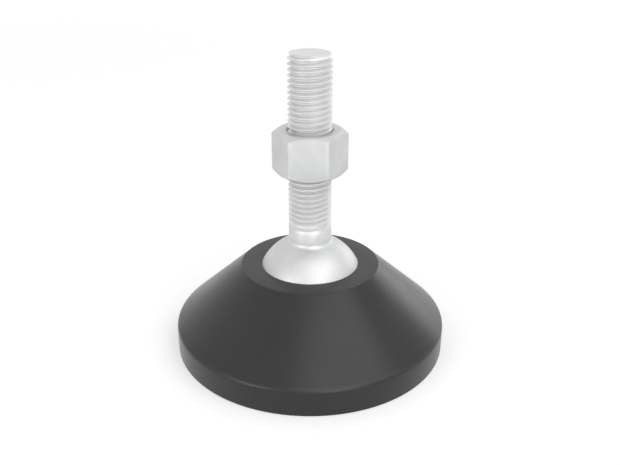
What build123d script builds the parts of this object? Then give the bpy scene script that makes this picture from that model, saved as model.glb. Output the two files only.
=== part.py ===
from build123d import *
import os
from math import acos, ceil, cos, pi, radians, sin, sqrt, tan

# Levelling foot: a conical plastic base on ribs, a captive ball joint, a steel spindle and a lock nut.
# Millimetres, +Z up. The origin lies on the floor, in the middle of the base.

# Base: the outer form
base_radius = 52.0
rim_height = 10.0
land_radius = 26.2
land_height = 33.0
rim_fillet = 2.0
land_fillet = 0.4
floor_chamfer = 0.5

# Base: walls and ribs of the hollow underside
cone_wall = 4.0
rim_wall = 4.0
tower_wall = 5.0
main_ribs = 12
ribs_per_main_rib = 2
rib_thickness = 2.5
hoop_radius = 35.6
hoop_thickness = 2.5
pocket_corner = 1.2
pocket_draft = 1.0

# Ball joint
ball_radius = 20.9
ball_height = 23.0
ball_flat_drop = 16.5
socket_clearance = 0.1
lip_chamfer = 0.2
tilt_limit = 15.0
stop_clearance = 0.15

# Seat: the plug that closes the socket from below
seat_drop = 8.0
seat_floor_gap = 0.2
seat_clearance = 0.1
seat_edge = 0.4
boss_clearance = 1.5
boss_edge = 0.8
cup_clearance = 0.05

# Retaining ring and its groove in the tower
ring_thickness = 1.75
ring_play = 0.05
ring_height = 3.2
groove_depth = 1.15
ring_groove_gap = 0.05
ring_band = 3.3
ring_taper = 0.8
ear_radius = 3.1
ear_hole_radius = 1.25
ear_angle = 21.0
mouth_chamfer = 0.6

# Spindle
rod_radius = 8.0
spindle_reach = 89.6
neck_fillet = 1.6
neck_length = 4.5
end_chamfer_length = 1.3
end_chamfer_depth = 0.65

# Spindle: the M16 thread
thread_pitch = 2.0
thread_angle = 60.0
thread_runout = 2.8
groove_stand_out = 0.1
turns_per_cut = 9

# Lock nut: M16, 24 mm across flats
nut_across_flats = 24.0
nut_thickness = 16.4
free_stud = 26.9
nut_turn = -2.5
nut_face_radius = 11.2
nut_chamfer_angle = 30.0
nut_mouth_depth = 0.6
thread_clearance = 0.05

# Derived sizes
socket_radius = ball_radius + socket_clearance
tower_radius = socket_radius + tower_wall
groove_radius = socket_radius + groove_depth
groove_bottom = ring_height - ring_play
groove_top = ring_height + ring_thickness + ring_play
ear_distance = groove_radius - ring_groove_gap - ear_radius
boss_radius = ear_distance - ear_radius - boss_clearance
seat_top = ball_height - seat_drop
neck_height = ball_height + sqrt(ball_radius**2 - rod_radius**2)
spindle_height = ball_height + spindle_reach
thread_start = neck_height + neck_length
thread_depth = thread_pitch * 17 / 24 * sqrt(3) / 2
thread_flank = tan(radians(thread_angle / 2))
nut_bottom = spindle_height - free_stud - nut_thickness
cone_slope = (land_height - rim_height) / (base_radius - land_radius)
cone_drop = cone_wall * sqrt(1 + cone_slope**2)


def revolved(points, corners=()):
    """Turn an outline of (radius, height) points round Z, with some of its corners rounded."""
    outline = make_face(Polyline(*points, close=True))
    for point, radius in corners:
        corner = outline.vertices().sort_by_distance((*point, 0))[0]
        outline = fillet(corner, radius)
    return revolve(Plane.XZ * outline, Axis.Z)


def cone_height(radius):
    """Height of the cone's outer face at a radius."""
    return land_height + (land_radius - radius) * cone_slope


def outer_form():
    """The base without its hollows: a short rim, a straight cone and a flat land on top."""
    rim_corner = (base_radius, rim_height)
    land_corner = (land_radius, land_height)
    points = [
        (0, 0),
        (base_radius - floor_chamfer, 0),
        (base_radius, floor_chamfer),
        rim_corner,
        land_corner,
        (0, land_height),
    ]
    return revolved(points, [(rim_corner, rim_fillet), (land_corner, land_fillet)])


def hollow_form():
    """The space under the cone and inside the rim, which the pockets fill between the ribs."""
    outer = base_radius - rim_wall
    points = [
        (0, 0),
        (outer, 0),
        (outer, cone_height(outer) - cone_drop),
        (0, cone_height(0) - cone_drop),
    ]
    return revolved(points)


def pocket(inner, outer, count):
    """One pocket between two radial ribs: round corners, narrower with height by the mould's draft."""
    half_angle = pi / count
    apex = rib_thickness / 2 / sin(half_angle)
    reach = 2 * outer
    wedge = make_face(
        Polyline(
            (apex, 0),
            (apex + reach * cos(half_angle), -reach * sin(half_angle)),
            (apex + reach * cos(half_angle), reach * sin(half_angle)),
            close=True,
        )
    )
    plan = (Circle(outer) - Circle(inner)) & wedge
    plan = fillet(plan.vertices(), pocket_corner)
    return extrude(plan, land_height, taper=pocket_draft)


def pockets():
    """Two circles of pockets, inside and outside the hoop rib. The outer one has more ribs."""
    inner = pocket(tower_radius, hoop_radius, main_ribs)
    outer_count = main_ribs * ribs_per_main_rib
    outer = pocket(hoop_radius + hoop_thickness, base_radius - rim_wall, outer_count)
    rings = PolarLocations(0, main_ribs, 180 / main_ribs) * (inner & hollow_form())
    rings += PolarLocations(0, outer_count, 180 / outer_count) * (outer & hollow_form())
    return rings


def socket():
    """The bore that takes the ball from below, its round end and the groove for the retaining ring."""
    bore = revolved(
        [
            (0, 0),
            (socket_radius + mouth_chamfer, 0),
            (socket_radius, mouth_chamfer),
            (socket_radius, groove_bottom),
            (groove_radius, groove_bottom),
            (groove_radius, groove_top),
            (socket_radius, groove_top),
            (socket_radius, ball_height),
            (0, ball_height),
        ]
    )
    lip_radius = sqrt(socket_radius**2 - (land_height - ball_height) ** 2)
    lip = revolved(
        [
            (0, land_height),
            (lip_radius + lip_chamfer, land_height),
            (lip_radius - lip_chamfer, land_height - 2 * lip_chamfer),
            (0, land_height - 2 * lip_chamfer),
        ]
    )
    return bore + Pos(0, 0, ball_height) * Sphere(socket_radius) + lip


def foot_base():
    """The moulded base with its ribbed underside and its socket."""
    return outer_form() - pockets() - socket()


def seat_floor():
    """Height of the seat's floor, which stops the edge of the ball's flat at the tilt limit."""
    flat_angle = acos(ball_flat_drop / ball_radius)
    lowest = ball_height - ball_radius * cos(flat_angle - radians(tilt_limit))
    return lowest - stop_clearance


def ball_seat():
    """The plug under the ball: a cup above, a shoulder on the ring and a boss down to the floor."""
    outer = socket_radius - seat_clearance
    points = [
        (0, seat_floor_gap),
        (boss_radius - boss_edge, seat_floor_gap),
        (boss_radius, seat_floor_gap + boss_edge),
        (boss_radius, groove_top),
        (outer, groove_top),
        (outer, seat_top - seat_edge),
        (outer - seat_edge, seat_top),
        (0, seat_top),
    ]
    cup = Pos(0, 0, ball_height) * Sphere(ball_radius + cup_clearance)
    above_floor = Pos(0, 0, seat_floor()) * extrude(Circle(outer), ball_height)
    return revolved(points) - (cup & above_floor)


def retaining_ring():
    """Internal retaining ring: a band that thins towards its gap, and two ears with plier holes."""
    outer = groove_radius - ring_groove_gap
    band = Circle(outer) - Pos(ring_taper, 0) * Circle(outer - ring_band)
    gap_angle = radians(ear_angle)
    gap = make_face(
        Polyline(
            (0, 0),
            (2 * outer * cos(gap_angle), -2 * outer * sin(gap_angle)),
            (2 * outer * cos(gap_angle), 2 * outer * sin(gap_angle)),
            close=True,
        )
    )
    plan = band - gap
    ears = [Rot(0, 0, side) * Pos(ear_distance, 0) for side in (-ear_angle, ear_angle)]
    for ear in ears:
        plan += ear * Circle(ear_radius)
    for ear in ears:
        plan -= ear * Circle(ear_hole_radius)
    return Pos(0, 0, ring_height) * extrude(plan, ring_thickness)


def spindle_blank(height):
    """The turned blank: a ball with a flat below, a rounded neck and a plain rod of some height."""
    flat_radius = sqrt(ball_radius**2 - ball_flat_drop**2)
    flat_height = ball_height - ball_flat_drop
    ball = ThreePointArc(
        (flat_radius, flat_height), (ball_radius, ball_height), (rod_radius, neck_height)
    )
    rest = Polyline(
        (rod_radius, neck_height),
        (rod_radius, height),
        (0, height),
        (0, flat_height),
        (flat_radius, flat_height),
    )
    outline = make_face([ball, *rest.edges()])
    neck = outline.vertices().sort_by_distance((rod_radius, neck_height, 0))[0]
    outline = fillet(neck, neck_fillet)
    return revolve(Plane.XZ * outline, Axis.Z)


def thread_groove(start, turns):
    """The thread's groove over some turns: a trapezium swept along a right-hand helix."""
    crest_half = thread_pitch * 7 / 16
    outer_half = crest_half + groove_stand_out * thread_flank
    root_half = crest_half - thread_depth * thread_flank
    root = rod_radius - thread_depth
    outer = rod_radius + groove_stand_out
    profile = make_face(
        Polyline(
            (root, -root_half),
            (outer, -outer_half),
            (outer, outer_half),
            (root, root_half),
            close=True,
        )
    )
    helix = Helix(thread_pitch, turns * thread_pitch, rod_radius, center=(0, 0, start))
    return sweep(Pos(0, 0, start) * (Plane.XZ * profile), path=helix, is_frenet=True)


def runout_cone():
    """The cone over which the groove runs out towards the neck."""
    fade = thread_start + thread_pitch / 2
    rise = thread_runout / thread_depth
    return revolved(
        [
            (0, thread_start - thread_pitch),
            (rod_radius + thread_depth, thread_start - thread_pitch),
            (rod_radius + thread_depth, fade - thread_depth * rise),
            (rod_radius - 1.5 * thread_depth, fade + 1.5 * thread_depth * rise),
            (0, fade + 1.5 * thread_depth * rise),
        ]
    )


def end_facing(height):
    """What is turned off the rod's end, up to a height: the chamfer and all above it."""
    outside = rod_radius + end_chamfer_depth
    return revolved(
        [
            (0, spindle_height),
            (rod_radius - end_chamfer_depth, spindle_height),
            (outside, spindle_height - 2 * end_chamfer_length),
            (2 * rod_radius, spindle_height - 2 * end_chamfer_length),
            (2 * rod_radius, height),
            (0, height),
        ]
    )


def spindle():
    """The spindle: its groove is cut in lengths of a few turns, past the end, which is then faced."""
    turns = ceil((spindle_height - thread_start) / thread_pitch) + 1
    cuts = ceil(turns / turns_per_cut)
    step = turns_per_cut * thread_pitch
    blank_height = thread_start + cuts * step + thread_pitch
    rod = spindle_blank(blank_height) - (thread_groove(thread_start, turns_per_cut) - runout_cone())
    for cut in range(1, cuts):
        rod -= thread_groove(thread_start + cut * step, turns_per_cut)
    return rod - end_facing(blank_height + thread_pitch)


def lock_nut():
    """Hexagon nut with both ends chamfered round and a countersunk bore."""
    corner_radius = nut_across_flats / sqrt(3)
    chamfer = (corner_radius - nut_face_radius) * tan(radians(nut_chamfer_angle))
    bore_radius = rod_radius + thread_clearance
    mouth_radius = bore_radius + nut_mouth_depth
    form = revolved(
        [
            (bore_radius, nut_mouth_depth),
            (mouth_radius, 0),
            (nut_face_radius, 0),
            (corner_radius, chamfer),
            (corner_radius, nut_thickness - chamfer),
            (nut_face_radius, nut_thickness),
            (mouth_radius, nut_thickness),
            (bore_radius, nut_thickness - nut_mouth_depth),
        ]
    )
    hexagon = Rot(0, 0, nut_turn) * extrude(RegularPolygon(corner_radius, 6), nut_thickness)
    return Pos(0, 0, nut_bottom) * (form & hexagon)


nodes = {
    "foot_base": foot_base,
    "ball_seat": ball_seat,
    "retaining_ring": retaining_ring,
    "spindle": spindle,
    "lock_nut": lock_nut,
}

os.makedirs("parts", exist_ok=True)
for name, build in nodes.items():
    export_step(build(), f"parts/{name}.step")
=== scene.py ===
import math

import bmesh
import bpy
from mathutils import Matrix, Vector


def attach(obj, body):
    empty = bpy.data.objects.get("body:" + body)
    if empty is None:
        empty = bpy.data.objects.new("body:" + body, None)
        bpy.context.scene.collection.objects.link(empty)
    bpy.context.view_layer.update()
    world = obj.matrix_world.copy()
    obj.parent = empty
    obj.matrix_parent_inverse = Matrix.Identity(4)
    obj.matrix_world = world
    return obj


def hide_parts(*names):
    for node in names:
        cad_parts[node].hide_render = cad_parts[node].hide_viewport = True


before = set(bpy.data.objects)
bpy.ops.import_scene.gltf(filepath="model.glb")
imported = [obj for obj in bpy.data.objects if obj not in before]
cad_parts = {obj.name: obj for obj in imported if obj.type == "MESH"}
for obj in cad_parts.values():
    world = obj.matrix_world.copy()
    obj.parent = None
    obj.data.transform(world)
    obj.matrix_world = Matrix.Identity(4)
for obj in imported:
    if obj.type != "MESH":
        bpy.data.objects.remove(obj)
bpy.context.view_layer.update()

# Levelling foot: moulded base, captive ball joint, threaded spindle and lock nut.
# Metres, in the frame of the CAD model: +Z up, origin on the floor in the middle of the base.

MM = 0.001

# Base
BASE_RADIUS = 52.0 * MM
RIM_HEIGHT = 10.0 * MM
LAND_RADIUS = 26.2 * MM
LAND_HEIGHT = 33.0 * MM
RIM_FILLET = 2.0 * MM
LAND_FILLET = 0.4 * MM
FLOOR_EDGE = 0.5 * MM
CONE_WALL = 4.0 * MM
RIM_WALL = 4.0 * MM
TOWER_RADIUS = 26.0 * MM
MAIN_RIBS = 12
OUTER_RIBS = 24
RIB_THICKNESS = 2.5 * MM
RIB_EDGE = 0.3 * MM
HOOP_RADIUS = 35.6 * MM
HOOP_THICKNESS = 2.5 * MM
POCKET_CORNER = 1.2 * MM
POCKET_CORNER_LEAST = 0.3 * MM
POCKET_DRAFT = math.radians(1.0)
POCKET_OVERCUT = 1.0 * MM
CEILING_FILLET = 0.9 * MM
CONE_SLOPE = (LAND_HEIGHT - RIM_HEIGHT) / (BASE_RADIUS - LAND_RADIUS)
CONE_DROP = CONE_WALL * math.hypot(1, CONE_SLOPE)

# Ball joint
BALL_RADIUS = 20.9 * MM
BALL_HEIGHT = 23.0 * MM
BALL_FLAT_HEIGHT = 6.5 * MM
SOCKET_RADIUS = 21.0 * MM
LIP_CHAMFER = 0.2 * MM
LIP_ROUND = 0.1 * MM
LIP_INSET = LIP_CHAMFER * 0.1
LIP_DROP = 1.6 * LIP_CHAMFER
SOCKET_DROP = 1.7 * LIP_CHAMFER
MOUTH_CHAMFER = 0.6 * MM
GROOVE_RADIUS = 22.15 * MM
GROOVE_BOTTOM = 3.15 * MM
GROOVE_TOP = 5.0 * MM

# Spindle, with an M16 thread. CREST is half the groove's opening, in pitches.
ROD_RADIUS = 8.0 * MM
SPINDLE_TOP = 112.6 * MM
NECK_FILLET = 1.6 * MM
NECK_LENGTH = 4.5 * MM
END_LENGTH = 1.3 * MM
END_DEPTH = 0.65 * MM
PITCH = 2.0 * MM
CREST = 7 / 16
FLANK = math.tan(math.radians(30))
THREAD_DEPTH = PITCH * 17 / 24 * math.sqrt(3) / 2
THREAD_ROOT = ROD_RADIUS - THREAD_DEPTH
THREAD_START = BALL_HEIGHT + math.sqrt(BALL_RADIUS**2 - ROD_RADIUS**2) + NECK_LENGTH
THREAD_BOTTOM = THREAD_START + PITCH / 2
THREAD_RUNOUT = 2.8 * MM

# Lock nut. NUT_MINOR is the standard minor radius of an internal metric thread.
NUT_FLATS = 24.0 * MM
NUT_CORNER = NUT_FLATS / math.sqrt(3)
NUT_THICKNESS = 16.4 * MM
NUT_BOTTOM = 69.3 * MM
NUT_TOP = NUT_BOTTOM + NUT_THICKNESS
NUT_TURN = math.radians(-2.5)
NUT_SIDE = math.pi / 3
NUT_FACE_RADIUS = 11.2 * MM
NUT_CHAMFER = math.radians(30.0)
NUT_MOUTH = 0.6 * MM
NUT_BORE = 8.05 * MM
NUT_MINOR = ROD_RADIUS - 0.5413 * PITCH
NUT_PLAY = 0.06 * MM
NUT_EDGE = 0.22 * MM
NUT_EDGE_STEPS = 3
NUT_EDGE_ANGLE = math.radians(24)
NUT_WELD = 0.001 * MM

# Fineness of the meshes
WELD = 1e-7
ON_AXIS = 1e-9
SMOOTH_ANGLE = math.radians(32)
ROUND_SEGMENTS = 240
THREAD_SEGMENTS = 96
NUT_SEGMENTS = 192
CORNER_STEPS = 6
SOCKET_STEPS = 16
BALL_STEPS = 72
NECK_STEPS = 10
RIB_EDGE_STEPS = 4
CEILING_STEPS = 5
POCKET_ROWS = 14
POCKET_ACROSS = 8

# Plating. Grooves: distances from the axis, between which dirt and painted shade darken the thread roots.
# Rubbed edges: distances from the axis. Painted light: two heights and how far it paints the threaded rod
# paler.
SPINDLE_TONE = 0.63
NUT_TONE = 0.62
THREAD_ROOT_DIRT_AND_SHADE = (THREAD_ROOT, THREAD_ROOT + 0.4 * MM)
ROD_RUBBED = (ROD_RADIUS - 0.12 * MM, ROD_RADIUS - 0.02 * MM)
NUT_RUBBED = (NUT_CORNER - 0.7 * MM, NUT_CORNER - 0.1 * MM)
RUBBED_MARGIN = 0.1 * MM
RUBBED_FADE = 0.3 * MM
# Painted light: the threaded rod is painted paler from the thread's start upwards.
ROD_PAINTED_LIGHT = (THREAD_START, THREAD_BOTTOM + THREAD_RUNOUT, 0.32)

# Rubbed edge of the base, where the rim meets the cone: wear, and a painted highlight along the edge
RIM_WEAR_AND_SHEEN_RADIUS = BASE_RADIUS - 0.6 * MM
RIM_WEAR_AND_SHEEN_HEIGHT = RIM_HEIGHT + 0.3 * MM
RIM_WEAR_AND_SHEEN_REACH = (0.2 * MM, 1.6 * MM)

# Stage. A lamp has its place, width, height and power in watts.
LENS = 42.784
SENSOR = 36.0
CLIP_START = 0.01
CAMERA_PLACE = (0.0, -253.924 * MM, 160.433 * MM)
CAMERA_DOWN = math.radians(24.417)
BACKGROUND = 1.0
AMBIENT = 0.55
FLOOR_RADIUS = 5.0
FLOOR_HOLE = BASE_RADIUS - 2.0 * MM
FLOOR_DROP = 0.05 * MM
FLOOR_TONE = 0.8
FLOOR_FADE = (0.2, 2.4)
FLOOR_GLOW_NEAR = 0.39
FLOOR_GLOW_FAR = 0.61
LAMP_AIM = (0, 0, 45 * MM)
LAMPS = {
    "top": ((0.74, -0.88, 1.55), 2.10, 1.30, 10.7),
    "right": ((1.36, 1.42, 0.48), 0.80, 0.80, 2.9),
    "left": ((-1.36, -1.30, 0.55), 0.95, 0.95, 6.8),
    "front": ((0.70, -1.85, 0.55), 1.00, 1.00, 6.6),
}


# Mesh helpers

def placed(name, data):
    """A new object in the scene, of a mesh, a lamp or a camera."""
    holder = bpy.data.objects.new(name, data)
    bpy.context.scene.collection.objects.link(holder)
    return holder


def mesh_of(name, bm):
    """A mesh of a bmesh, which is freed."""
    mesh = bpy.data.meshes.new(name)
    bm.to_mesh(mesh)
    bm.free()
    return mesh


def smooth(mesh):
    """Shade a mesh smooth, with its corners sharp."""
    mesh.polygons.foreach_set("use_smooth", [True] * len(mesh.polygons))
    mesh.set_sharp_from_angle(angle=SMOOTH_ANGLE)


def weld(bm, distance):
    """Join the points of a bmesh that lie closer than a distance, and drop what has no area."""
    bmesh.ops.remove_doubles(bm, verts=bm.verts, dist=distance)
    bmesh.ops.dissolve_degenerate(bm, edges=bm.edges, dist=distance)


def finished(name, bm, material, body, replaced):
    """Make a piece of a bmesh: smooth where round, with its material and body, hiding the CAD node it
    replaces.
    """
    weld(bm, WELD)
    bmesh.ops.recalc_face_normals(bm, faces=bm.faces)
    mesh = mesh_of(name, bm)
    smooth(mesh)
    mesh.materials.append(material)
    piece = placed(name, mesh)
    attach(piece, body)
    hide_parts(replaced)
    return piece


def apply_modifier(piece, kind, **settings):
    """Add a modifier to a piece and put its result in the mesh."""
    modifier = piece.modifiers.new(kind.lower(), kind)
    for key, value in settings.items():
        setattr(modifier, key, value)
    with bpy.context.temp_override(object=piece, active_object=piece, selected_objects=[piece]):
        bpy.ops.object.modifier_apply(modifier=modifier.name)


def polar(radius, angle, height):
    """A point at a distance from the Z axis, an angle round it and a height."""
    return radius * math.cos(angle), radius * math.sin(angle), height


def rounded(points):
    """An outline of (radius, height[, corner radius]) points with its corners turned into arcs."""
    outline = []
    count = len(points)
    for i, point in enumerate(points):
        here = Vector(point[:2])
        if len(point) < 3:
            outline.append(here)
            continue
        before = (Vector(points[i - 1][:2]) - here).normalized()
        after = (Vector(points[(i + 1) % count][:2]) - here).normalized()
        half = before.angle(after) / 2
        reach = point[2] / math.tan(half)
        middle = (before + after).normalized()
        centre = here + middle * (point[2] / math.sin(half))
        start = here + before * reach - centre
        sweep = (here + after * reach - centre).angle_signed(start)
        for k in range(CORNER_STEPS + 1):
            turn = sweep * k / CORNER_STEPS
            cos, sin = math.cos(turn), math.sin(turn)
            arm = Vector((start.x * cos - start.y * sin, start.x * sin + start.y * cos))
            outline.append(centre + arm)
    return outline


def ball_arc(radius, low, high, steps):
    """Points (radius, height) on a sphere about the ball's centre, from one height to another."""
    start = math.asin((low - BALL_HEIGHT) / radius)
    end = math.asin((high - BALL_HEIGHT) / radius)
    angles = [start + (end - start) * k / steps for k in range(steps + 1)]
    return [(radius * math.cos(a), BALL_HEIGHT + radius * math.sin(a)) for a in angles]


def skin(bm, low, high):
    """Faces between two rings of vertices, either of which may be a single vertex."""
    count = max(len(low), len(high))
    if count == 1:
        return
    for i in range(count):
        j = (i + 1) % count
        corners = [low[i % len(low)], low[j % len(low)], high[j % len(high)], high[i % len(high)]]
        bm.faces.new(list(dict.fromkeys(corners)))


def lathe(outline, segments=ROUND_SEGMENTS, closed=True):
    """Turn (radius, height) points round Z. A point on the axis becomes one vertex."""
    bm = bmesh.new()
    angles = [2 * math.pi * i / segments for i in range(segments)]
    rings = []
    for radius, height in outline:
        if radius < ON_AXIS:
            rings.append([bm.verts.new((0, 0, height))])
        else:
            rings.append([bm.verts.new(polar(radius, a, height)) for a in angles])
    pairs = list(zip(rings, rings[1:]))
    if closed:
        pairs.append((rings[-1], rings[0]))
    for low, high in pairs:
        skin(bm, low, high)
    return bm


# Material helpers

class Finish:
    """A procedural material on one Principled shader, in the object's own coordinates."""

    def __init__(self, name):
        self.material = bpy.data.materials.new(name)
        self.material.use_nodes = True
        self.tree = self.material.node_tree
        self.nodes = self.tree.nodes
        self.links = self.tree.links
        self.shader = self.nodes["Principled BSDF"]
        self.place = self.nodes.new("ShaderNodeTexCoord").outputs["Object"]

    def link(self, value, socket):
        """Set a socket to a number, a colour or another node's output."""
        if isinstance(value, bpy.types.NodeSocket):
            self.links.new(value, socket)
        else:
            socket.default_value = value

    def set(self, name, value):
        """Set one of the shader's inputs."""
        self.link(value, self.shader.inputs[name])

    def noise(self, scale, detail=2.0, roughness=0.5, stretch=(1, 1, 1)):
        """Noise in the object's coordinates, in features per metre, squeezed along some axes."""
        mapping = self.nodes.new("ShaderNodeMapping")
        mapping.inputs["Scale"].default_value = stretch
        self.links.new(self.place, mapping.inputs["Vector"])
        noise = self.nodes.new("ShaderNodeTexNoise")
        noise.inputs["Scale"].default_value = scale
        noise.inputs["Detail"].default_value = detail
        noise.inputs["Roughness"].default_value = roughness
        self.links.new(mapping.outputs["Vector"], noise.inputs["Vector"])
        return noise.outputs["Fac"]

    def math(self, operation, a, b=0.0):
        """One arithmetic node."""
        node = self.nodes.new("ShaderNodeMath")
        node.operation = operation
        self.link(a, node.inputs[0])
        self.link(b, node.inputs[1])
        return node.outputs[0]

    def distance(self, value, centre):
        """How far a value is from another, either way."""
        return self.math("ABSOLUTE", self.math("SUBTRACT", value, centre))

    def remap(self, value, low, high, to_low, to_high):
        """Map a value's range to another, clamped and eased."""
        node = self.nodes.new("ShaderNodeMapRange")
        node.interpolation_type = "SMOOTHSTEP"
        self.link(value, node.inputs["Value"])
        for name, bound in zip(("From Min", "From Max", "To Min", "To Max"), (low, high, to_low, to_high)):
            node.inputs[name].default_value = bound
        return node.outputs["Result"]

    def mix(self, factor, a, b):
        """Blend two colours."""
        node = self.nodes.new("ShaderNodeMix")
        node.data_type = "RGBA"
        self.link(factor, node.inputs["Factor"])
        self.link(a, node.inputs["A"])
        self.link(b, node.inputs["B"])
        return node.outputs["Result"]

    def height(self):
        """Height above the object's origin."""
        return self.split().outputs["Z"]

    def radius(self):
        """Distance from the Z axis."""
        split = self.split()
        squares = [self.math("POWER", split.outputs[a], 2.0) for a in "XY"]
        return self.math("SQRT", self.math("ADD", *squares))

    def split(self):
        """A node with the object's coordinates one by one."""
        split = self.nodes.new("ShaderNodeSeparateXYZ")
        self.links.new(self.place, split.inputs[0])
        return split

    def bumps(self, layers):
        """Chain bump layers of (height, distance in metres), strongest first."""
        normal = None
        for height, distance in layers:
            bump = self.nodes.new("ShaderNodeBump")
            bump.inputs["Distance"].default_value = distance
            self.links.new(height, bump.inputs["Height"])
            if normal is not None:
                self.links.new(normal, bump.inputs["Normal"])
            normal = bump.outputs["Normal"]
        self.set("Normal", normal)


def grey(value, tint=(1.0, 1.0, 1.0)):
    """A linear grey with a slight tint."""
    return tuple(value * t for t in tint) + (1.0,)


def moulded_black():
    """Black glass-filled polyamide with a fine spark-eroded grain, and its edge painted a little paler:
    partly wear and partly a painted highlight.
    """
    f = Finish("moulded_black")
    clouds = f.noise(55.0, 3.0)
    grain = f.noise(3200.0, 2.0)
    colour = f.mix(clouds, grey(0.016, (1.0, 1.0, 1.01)), grey(0.021, (0.99, 1.0, 1.0)))
    # Wear and painted highlight: a paler line round the rim's upper edge.
    off_edge = f.math("ADD", f.distance(f.radius(), RIM_WEAR_AND_SHEEN_RADIUS), f.distance(f.height(), RIM_WEAR_AND_SHEEN_HEIGHT))
    near = f.remap(off_edge, *RIM_WEAR_AND_SHEEN_REACH, 1.0, 0.0)
    rubbed = f.math("MULTIPLY", near, f.remap(f.noise(70.0, 3.0), 0.35, 0.75, 0.1, 0.5))
    f.set("Base Color", f.mix(rubbed, colour, grey(0.048)))
    rough = f.math("ADD", f.remap(clouds, 0.3, 0.7, 0.24, 0.30), f.remap(grain, 0.35, 0.65, 0.0, 0.05))
    f.set("Roughness", f.math("ADD", rough, f.math("MULTIPLY", rubbed, -0.12)))
    f.set("IOR", 1.5)
    f.set("Specular IOR Level", 0.40)
    f.bumps([(f.noise(18.0, 1.0), 0.05 * MM), (grain, 0.022 * MM)])
    return f.material


def zinc_steel(name, tone, turned, groove, rubbed, painted_light=None):
    """Zinc-plated steel: mottled satin, darker in its thread roots with dirt and painted shade, rubbed
    bright and smooth on its edges.

    The groove and the rubbed edge are each two distances from the Z axis, between which the one fades
    out and the other in. The painted light is two heights and a share: between them the colour is painted
    paler, as painted light on the threaded rod.
    """
    f = Finish(name)
    mottle = f.noise(130.0, 3.0)
    fine = f.noise(1500.0, 2.0)
    spread = f.remap(mottle, 0.3, 0.7, 0.0, 1.0)
    colour = f.mix(spread, grey(tone * 0.93, (1.0, 1.0, 0.99)), grey(tone * 1.03, (0.99, 1.0, 1.01)))
    # Painted light: between two heights the colour is painted paler.
    if painted_light:
        low, high, share = painted_light
        colour = f.mix(f.remap(f.height(), low, high, 0.0, share), colour, grey(1.0))
    radius = f.radius()
    # Dirt and painted shade: the thread roots are painted darker.
    colour = f.mix(f.remap(radius, *groove, 0.14, 0.0), colour, grey(tone * 0.62))
    beyond = rubbed[1] + RUBBED_MARGIN
    inside = f.remap(radius, *rubbed, 0.0, 1.0)
    outside = f.remap(radius, beyond, beyond + RUBBED_FADE, 1.0, 0.0)
    patches = f.remap(f.noise(260.0, 4.0), 0.4, 0.65, 0.15, 1.0)
    worn = f.math("MULTIPLY", f.math("MULTIPLY", inside, outside), patches)
    f.set("Base Color", f.mix(f.math("MULTIPLY", worn, 0.6), colour, grey(tone * 1.12)))
    f.set("Metallic", 1.0)
    rough = f.math("ADD", f.remap(mottle, 0.3, 0.7, 0.46, 0.53), f.remap(fine, 0.3, 0.7, 0.0, 0.04))
    f.set("Roughness", f.math("ADD", rough, f.math("MULTIPLY", worn, -0.12)))
    layers = [(fine, 0.008 * MM)]
    if turned:
        rings = f.noise(420.0, 2.0, 0.6, (0.02, 0.02, 6.0))
        layers.append((rings, 0.008 * MM))
    f.bumps(layers)
    return f.material


def spring_steel():
    """Phosphated spring steel: dark grey and dull."""
    f = Finish("spring_steel")
    mottle = f.noise(400.0, 3.0)
    f.set("Base Color", f.mix(mottle, grey(0.10), grey(0.16)))
    f.set("Metallic", 1.0)
    f.set("Roughness", f.remap(mottle, 0.3, 0.7, 0.38, 0.55))
    f.bumps([(f.noise(2500.0, 2.0), 0.006 * MM)])
    return f.material


def natural_acetal():
    """Natural white acetal, cloudy and a little waxy, with a fine grain."""
    f = Finish("natural_acetal")
    clouds = f.noise(90.0, 2.0)
    f.set("Base Color", f.mix(clouds, grey(0.58, (1.0, 0.99, 0.95)), grey(0.64, (1.0, 0.99, 0.96))))
    f.set("Roughness", f.remap(clouds, 0.3, 0.7, 0.36, 0.46))
    f.set("Subsurface Weight", 0.05)
    f.set("Subsurface Radius", (0.5 * MM, 0.4 * MM, 0.35 * MM))
    f.bumps([(f.noise(1600.0, 2.0), 0.006 * MM)])
    return f.material


# Base

def ceiling_height(radius):
    """Height of the cone's inner face at a radius."""
    return LAND_HEIGHT + (LAND_RADIUS - radius) * CONE_SLOPE - CONE_DROP


def base_outline():
    """Section of the base without its pockets: mouth, rim, cone, land, lip, socket, bore and groove."""
    lip_radius = math.sqrt(SOCKET_RADIUS**2 - (LAND_HEIGHT - BALL_HEIGHT) ** 2)
    outer = rounded(
        [
            (SOCKET_RADIUS + MOUTH_CHAMFER, 0),
            (BASE_RADIUS, 0, FLOOR_EDGE),
            (BASE_RADIUS, RIM_HEIGHT, RIM_FILLET),
            (LAND_RADIUS, LAND_HEIGHT, LAND_FILLET),
            (lip_radius + LIP_CHAMFER, LAND_HEIGHT, LIP_ROUND),
            (lip_radius - LIP_INSET, LAND_HEIGHT - LIP_DROP),
        ]
    )
    round_end = ball_arc(SOCKET_RADIUS, LAND_HEIGHT - SOCKET_DROP, BALL_HEIGHT, SOCKET_STEPS)
    bore = [
        (SOCKET_RADIUS, GROOVE_TOP),
        (GROOVE_RADIUS, GROOVE_TOP),
        (GROOVE_RADIUS, GROOVE_BOTTOM),
        (SOCKET_RADIUS, GROOVE_BOTTOM),
        (SOCKET_RADIUS, MOUTH_CHAMFER),
    ]
    return [tuple(p) for p in outer] + round_end + bore


def pocket_levels():
    """How a pocket's outline changes with height: (share of the way up, height offset, inset)."""
    levels = [(0.0, -POCKET_OVERCUT, -RIB_EDGE)]
    for k in range(RIB_EDGE_STEPS + 1):
        turn = math.pi / 2 * k / RIB_EDGE_STEPS
        levels.append((0.0, RIB_EDGE * (1 - math.cos(turn)), -RIB_EDGE * (1 - math.sin(turn))))
    for k in range(CEILING_STEPS + 1):
        turn = math.pi / 2 * k / CEILING_STEPS
        drop = CEILING_FILLET * (1 - math.sin(turn))
        levels.append((1.0, -drop, CEILING_FILLET * (1 - math.cos(turn))))
    return levels


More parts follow.
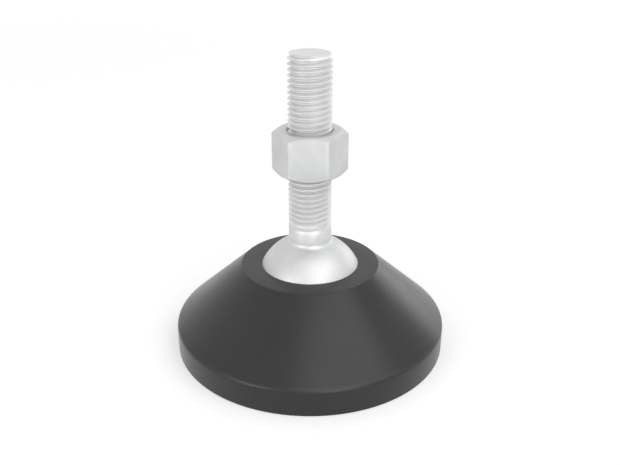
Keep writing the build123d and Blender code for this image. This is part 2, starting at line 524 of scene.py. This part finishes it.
def pocket_rows(inner, outer, half_angle, share, offset, inset):
    """A pocket's outline at one level, as rows of points across it, each row at one radius."""
    grid = []
    for i in range(POCKET_ROWS + 1):
        step = 0.5 - 0.5 * math.cos(math.pi * i / POCKET_ROWS)
        height = share * ceiling_height(inner + (outer - inner) * step) + offset
        shrink = inset + max(height, 0) * math.tan(POCKET_DRAFT)
        low, high = inner + shrink, outer - shrink
        radius = low + (high - low) * step
        corner = max(POCKET_CORNER - inset, POCKET_CORNER_LEAST)
        depth = min(radius - low, high - radius, corner)
        pinch = corner - math.sqrt(max(corner**2 - (corner - depth) ** 2, 0))
        half_width = half_angle - math.asin((RIB_THICKNESS / 2 + shrink + pinch) / radius)
        top = share * ceiling_height(radius) + offset
        angles = [half_width * (2 * j / POCKET_ACROSS - 1) for j in range(POCKET_ACROSS + 1)]
        grid.append([Vector(polar(radius, a, top)) for a in angles])
    return grid


def rim_of(grid):
    """The points round the edge of a grid, in order."""
    right = [row[-1] for row in grid[1:-1]]
    left = [row[0] for row in grid[1:-1]]
    return grid[0] + right + grid[-1][::-1] + left[::-1]


def cap(bm, grid, ring, vert):
    """Close a pocket's top with the grid's own quads, so that it follows the cone."""
    rows, across = len(grid), len(grid[0])
    points = {(i, j): vert(grid[i][j]) for i in range(1, rows - 1) for j in range(1, across - 1)}
    side = rows - 2
    for j in range(across):
        points[0, j] = ring[j]
        points[rows - 1, j] = ring[across + side + (across - 1 - j)]
    for i in range(1, rows - 1):
        points[i, across - 1] = ring[across + i - 1]
        points[i, 0] = ring[2 * across + side + (rows - 2 - i)]
    for i in range(rows - 1):
        for j in range(across - 1):
            bm.faces.new((points[i, j], points[i, j + 1], points[i + 1, j + 1], points[i + 1, j]))


def pocket_cutter(bm, inner, outer, count):
    """One pocket as a closed form, repeated round the base between the ribs."""
    half_angle = math.pi / count
    levels = [pocket_rows(inner, outer, half_angle, *level) for level in pocket_levels()]
    for copy in range(count):
        turn = 2 * math.pi * (copy + 0.5) / count
        cos, sin = math.cos(turn), math.sin(turn)

        def vert(p):
            return bm.verts.new((p.x * cos - p.y * sin, p.x * sin + p.y * cos, p.z))

        rings = [[vert(p) for p in rim_of(grid)] for grid in levels]
        for low, high in zip(rings, rings[1:]):
            skin(bm, low, high)
        bm.faces.new(rings[0])
        cap(bm, levels[-1], rings[-1], vert)


def build_base(material):
    """The moulding, with its pockets cut out of the turned form."""
    base = finished("base_moulding", lathe(base_outline()), material, "base", "foot_base")
    bm = bmesh.new()
    pocket_cutter(bm, TOWER_RADIUS, HOOP_RADIUS, MAIN_RIBS)
    pocket_cutter(bm, HOOP_RADIUS + HOOP_THICKNESS, BASE_RADIUS - RIM_WALL, OUTER_RIBS)
    bmesh.ops.recalc_face_normals(bm, faces=bm.faces)
    mesh = mesh_of("pockets", bm)
    cutter = placed("pockets", mesh)
    apply_modifier(base, "BOOLEAN", operation="DIFFERENCE", object=cutter, solver="EXACT")
    bpy.data.objects.remove(cutter)
    bpy.data.meshes.remove(mesh)
    smooth(base.data)


# Spindle

def thread_cut(height, angle):
    """How deep the right-hand thread cuts below the crest at a height and angle."""
    phase = ((height - THREAD_START) / PITCH - angle / (2 * math.pi)) % 1.0
    from_root = min(phase, 1 - phase) * PITCH
    cut = (PITCH * CREST - from_root) / FLANK
    return min(max(cut, 0.0), THREAD_DEPTH)


def rod_surface(height, angle):
    """Radius of the threaded rod, with the thread's run-out below and the chamfered end above."""
    grown = min(max((height - THREAD_BOTTOM) / THREAD_RUNOUT, 0.0), 1.0)
    radius = ROD_RADIUS - min(thread_cut(height, angle), THREAD_DEPTH * grown)
    end = ROD_RADIUS - END_DEPTH * max(height - (SPINDLE_TOP - END_LENGTH), 0.0) / END_LENGTH
    return min(radius, end)


def thread_shares(low, high):
    """Heights along the thread's section that need points, in pitches above the thread's start."""
    root = CREST - THREAD_DEPTH * FLANK / PITCH
    flank = (root + CREST) / 2
    steps = [0.0, root, flank, CREST, 0.5, 1 - CREST, 1 - flank, 1 - root]
    first = math.floor((low - THREAD_START) / PITCH) - 1
    last = math.ceil((high - THREAD_START) / PITCH) + 1
    return [turn + step for turn in range(first, last) for step in steps]


def threaded_wall(bm, low, high, segments, radius_at, start=0.0):
    """A wall of faces that follow the helix between two heights, at a radius for each point."""
    shares = thread_shares(low, high)
    columns = []
    for i in range(segments + 1):
        angle = start + 2 * math.pi * i / segments
        column = []
        for share in shares:
            height = THREAD_START + (share + angle / (2 * math.pi)) * PITCH
            height = min(max(height, low), high)
            column.append(bm.verts.new(polar(radius_at(height, angle), angle, height)))
        columns.append(column)
    for left, right in zip(columns, columns[1:]):
        for corners in zip(left, right, right[1:], left[1:]):
            bm.faces.new(corners)


def build_spindle(material):
    """The ball, its rounded neck, the threaded rod and the flat end."""
    fillet_reach = BALL_RADIUS + NECK_FILLET
    fillet_radius = ROD_RADIUS + NECK_FILLET
    fillet_height = BALL_HEIGHT + math.sqrt(fillet_reach**2 - fillet_radius**2)
    lean = math.asin(fillet_radius / fillet_reach)
    ball_end = BALL_HEIGHT + BALL_RADIUS * math.cos(lean)
    outline = [(0, BALL_FLAT_HEIGHT)] + ball_arc(BALL_RADIUS, BALL_FLAT_HEIGHT, ball_end, BALL_STEPS)
    for k in range(1, NECK_STEPS + 1):
        a = math.pi / 2 + lean + (math.pi / 2 - lean) * k / NECK_STEPS
        radius = fillet_radius + NECK_FILLET * math.cos(a)
        outline.append((radius, fillet_height - NECK_FILLET * math.sin(a)))
    outline.append((ROD_RADIUS, THREAD_BOTTOM))
    bm = lathe(outline, THREAD_SEGMENTS, closed=False)
    threaded_wall(bm, THREAD_BOTTOM, SPINDLE_TOP, THREAD_SEGMENTS, rod_surface)
    middle = [bm.verts.new((0, 0, SPINDLE_TOP))]
    angles = [2 * math.pi * i / THREAD_SEGMENTS for i in range(THREAD_SEGMENTS)]
    ring = [bm.verts.new(polar(rod_surface(SPINDLE_TOP, a), a, SPINDLE_TOP)) for a in angles]
    skin(bm, ring, middle)
    finished("threaded_spindle", bm, material, "spindle", "spindle")


# Lock nut

def nut_side(angle):
    """Distance from the axis to the hexagon's side at an angle from its middle line."""
    off = (angle + NUT_SIDE / 2) % NUT_SIDE - NUT_SIDE / 2
    return NUT_FLATS / 2 / math.cos(off)


def nut_bore(height, angle):
    """Radius of the nut's threaded bore, which meshes with the spindle's thread."""
    threaded = max(ROD_RADIUS - thread_cut(height, angle) + NUT_PLAY, NUT_MINOR)
    from_end = min(height - NUT_BOTTOM, NUT_TOP - height)
    return max(threaded, NUT_BORE + NUT_MOUTH - max(from_end, 0.0))


def build_nut(material):
    """The hexagon with both ends chamfered round, softened edges and a threaded bore."""
    slope = math.tan(NUT_CHAMFER)
    first = NUT_SIDE / 2 + NUT_TURN
    bm = bmesh.new()
    angles = [2 * math.pi * i / NUT_SEGMENTS for i in range(NUT_SEGMENTS)]

    def ring(radius_at, height_at):
        radii = [radius_at(a) for a in angles]
        return [bm.verts.new(polar(r, a + first, height_at(r))) for r, a in zip(radii, angles)]

    rings = [
        ring(lambda a: NUT_BORE + NUT_MOUTH, lambda r: NUT_BOTTOM),
        ring(lambda a: NUT_FACE_RADIUS, lambda r: NUT_BOTTOM),
        ring(nut_side, lambda r: NUT_BOTTOM + (r - NUT_FACE_RADIUS) * slope),
        ring(nut_side, lambda r: NUT_TOP - (r - NUT_FACE_RADIUS) * slope),
        ring(lambda a: NUT_FACE_RADIUS, lambda r: NUT_TOP),
        ring(lambda a: NUT_BORE + NUT_MOUTH, lambda r: NUT_TOP),
    ]
    for low, high in zip(rings, rings[1:]):
        skin(bm, low, high)
    threaded_wall(bm, NUT_BOTTOM, NUT_TOP, NUT_SEGMENTS, nut_bore, first)
    nut = finished("hexagon_nut", bm, material, "nut", "lock_nut")
    apply_modifier(nut, "BEVEL", width=NUT_EDGE, segments=NUT_EDGE_STEPS, limit_method="ANGLE",
                   angle_limit=NUT_EDGE_ANGLE, use_clamp_overlap=True)
    bm = bmesh.new()
    bm.from_mesh(nut.data)
    weld(bm, NUT_WELD)
    bm.to_mesh(nut.data)
    bm.free()
    nut.data.set_sharp_from_angle(angle=SMOOTH_ANGLE)


# Stage

def when_seen(tree, unseen, seen):
    """A strength for what the camera, a reflection or glass sees, and another for lighting."""
    path = tree.nodes.new("ShaderNodeLightPath")
    either = path.outputs["Is Camera Ray"]
    for name in ("Is Glossy Ray", "Is Transmission Ray"):
        join = tree.nodes.new("ShaderNodeMath")
        join.operation = "MAXIMUM"
        tree.links.new(either, join.inputs[0])
        tree.links.new(path.outputs[name], join.inputs[1])
        either = join.outputs[0]
    strength = tree.nodes.new("ShaderNodeMapRange")
    strength.inputs["To Min"].default_value = unseen
    strength.inputs["To Max"].default_value = seen
    tree.links.new(either, strength.inputs["Value"])
    return strength.outputs["Result"]


def white_world():
    """White where the camera and reflections look, and a soft ambient light on what is matt."""
    world = bpy.data.worlds.new("studio")
    bpy.context.scene.world = world
    world.use_nodes = True
    tree = world.node_tree
    backdrop = tree.nodes["Background"]
    backdrop.inputs["Color"].default_value = grey(1.0)
    tree.links.new(when_seen(tree, AMBIENT, BACKGROUND), backdrop.inputs["Strength"])


def floor_paint():
    """Matt white that also glows where it is seen, more so far away. It is clear from below."""
    f = Finish("floor_paint")
    f.set("Base Color", grey(FLOOR_TONE))
    f.set("Roughness", 0.9)
    f.set("Specular IOR Level", 0.0)
    reach = f.nodes.new("ShaderNodeVectorMath")
    reach.operation = "LENGTH"
    f.link(f.place, reach.inputs[0])
    fade = f.remap(reach.outputs["Value"], *FLOOR_FADE, FLOOR_GLOW_NEAR, FLOOR_GLOW_FAR)
    glow = f.nodes.new("ShaderNodeEmission")
    f.link(f.math("MULTIPLY", when_seen(f.tree, 0.0, 1.0), fade), glow.inputs["Strength"])
    both = f.nodes.new("ShaderNodeAddShader")
    f.link(f.shader.outputs[0], both.inputs[0])
    f.link(glow.outputs[0], both.inputs[1])
    side = f.nodes.new("ShaderNodeMixShader")
    f.link(f.nodes.new("ShaderNodeNewGeometry").outputs["Backfacing"], side.inputs[0])
    f.link(both.outputs[0], side.inputs[1])
    f.link(f.nodes.new("ShaderNodeBsdfTransparent").outputs[0], side.inputs[2])
    f.link(side.outputs[0], f.nodes["Material Output"].inputs["Surface"])
    return f.material


def white_floor():
    """A pale floor, white but for the object's shadow, and open under the foot."""
    mesh = mesh_of("floor", lathe([(FLOOR_RADIUS, 0), (FLOOR_HOLE, 0)], closed=False))
    mesh.materials.append(floor_paint())
    floor = placed("floor", mesh)
    floor.location.z = -FLOOR_DROP


def softbox(name, place, width, height, power):
    """A rectangular area lamp that faces the middle of the foot."""
    lamp = bpy.data.lights.new(name, "AREA")
    lamp.shape = "RECTANGLE"
    lamp.size = width
    lamp.size_y = height
    lamp.energy = power
    holder = placed(name, lamp)
    holder.location = place
    holder.rotation_euler = (Vector(LAMP_AIM) - Vector(place)).to_track_quat("-Z", "Y").to_euler()


def camera():
    """The camera at the photograph's place: level sideways, tilted down, no shift."""
    lens = bpy.data.cameras.new("camera")
    lens.lens = LENS
    lens.sensor_width = SENSOR
    lens.clip_start = CLIP_START
    holder = placed("camera", lens)
    holder.location = CAMERA_PLACE
    holder.rotation_euler = (math.pi / 2 - CAMERA_DOWN, 0, 0)
    bpy.context.scene.camera = holder


def dress(node, material):
    """Give a CAD node that keeps its own mesh its material."""
    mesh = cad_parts[node].data
    mesh.materials.clear()
    mesh.materials.append(material)


camera()
white_world()
white_floor()
for lamp_name, lamp_settings in LAMPS.items():
    softbox(lamp_name, *lamp_settings)

build_base(moulded_black())
build_spindle(zinc_steel("zinc_spindle", SPINDLE_TONE, True, THREAD_ROOT_DIRT_AND_SHADE, ROD_RUBBED, ROD_PAINTED_LIGHT))
build_nut(zinc_steel("zinc_nut", NUT_TONE, False, THREAD_ROOT_DIRT_AND_SHADE, NUT_RUBBED))
dress("ball_seat", natural_acetal())
dress("retaining_ring", spring_steel())

bpy.context.scene.view_settings.view_transform = "Standard"
